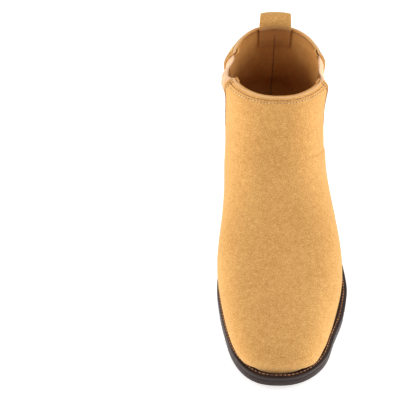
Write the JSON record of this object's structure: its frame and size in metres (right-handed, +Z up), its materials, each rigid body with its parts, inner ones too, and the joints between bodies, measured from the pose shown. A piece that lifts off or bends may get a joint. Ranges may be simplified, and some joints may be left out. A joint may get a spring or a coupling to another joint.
{
  "type": "chelsea boot",
  "caption": "Left slip-on ankle boot with elastic side panels, a square toe, a stitched welt, a low stacked heel and a springy pull loop at the back.",
  "frame": {"origin": "on the ground under the middle of the whole boot's box", "axes": "-Y towards the toe, +X towards the outer side of the left foot, +Z up; the boot stands on its heel and on the ball of its sole"},
  "size_m": [0.1066, 0.3032, 0.161],
  "materials": {
    "suede": "tan suede with a fine nap",
    "elastic": "ribbed elastic webbing",
    "lining": "smooth tan lining leather",
    "stiffener": "moulded stiffener board",
    "canvas": "woven cotton",
    "insock": "smooth brown leather",
    "insole_board": "vegetable tanned insole leather",
    "cork": "ground cork and glue",
    "steel": "rolled spring steel",
    "welt": "dark brown edge dressing",
    "sole_leather": "brown leather, burnished black round the edge",
    "heel_stack": "stacked leather, dark and polished",
    "rubber": "black moulded rubber",
    "brass": "drawn brass",
    "thread": "waxed thread"
  },
  "bodies": {
    "boot": {"vamp": "suede", "quarter_lateral": "suede", "quarter_medial": "suede", "backstay": "suede", "gusset_lateral": "elastic", "gusset_medial": "elastic", "vamp_lining": "lining", "quarter_lining_lateral": "lining", "quarter_lining_medial": "lining", "toe_puff": "stiffener", "heel_counter": "stiffener", "vamp_interlining": "canvas", "quarter_interlining_lateral": "canvas", "quarter_interlining_medial": "canvas", "pull_tab_inner_end": "suede", "pull_tab_outer_end": "suede", "insock": "insock", "insole": "insole_board", "insole_rib": "canvas", "cork_filler": "cork", "shank": "steel", "welt": "welt", "heel_rand": "welt", "outsole": "sole_leather", "heel_wedge": "heel_stack", "heel_lift_upper": "heel_stack", "heel_lift_lower": "heel_stack", "top_piece": "rubber", "heel_nail_1": "brass", "heel_nail_2": "brass", "heel_nail_3": "brass", "heel_nail_4": "brass", "heel_nail_5": "brass", "welt_stitching": "thread", "outsole_stitching": "thread"},
    "pull_loop": {"pull_loop": "suede"}
  },
  "joints": [
    {"name": "pull_loop_flex", "type": "hinge", "parent": "boot", "child": "pull_loop", "pos_m": [-0.00725, 0.12702, 0.147], "axis": [1, 0, 0], "range_deg": [-30, 30], "stiffness_Nm_per_rad": 0.005}
  ]
}
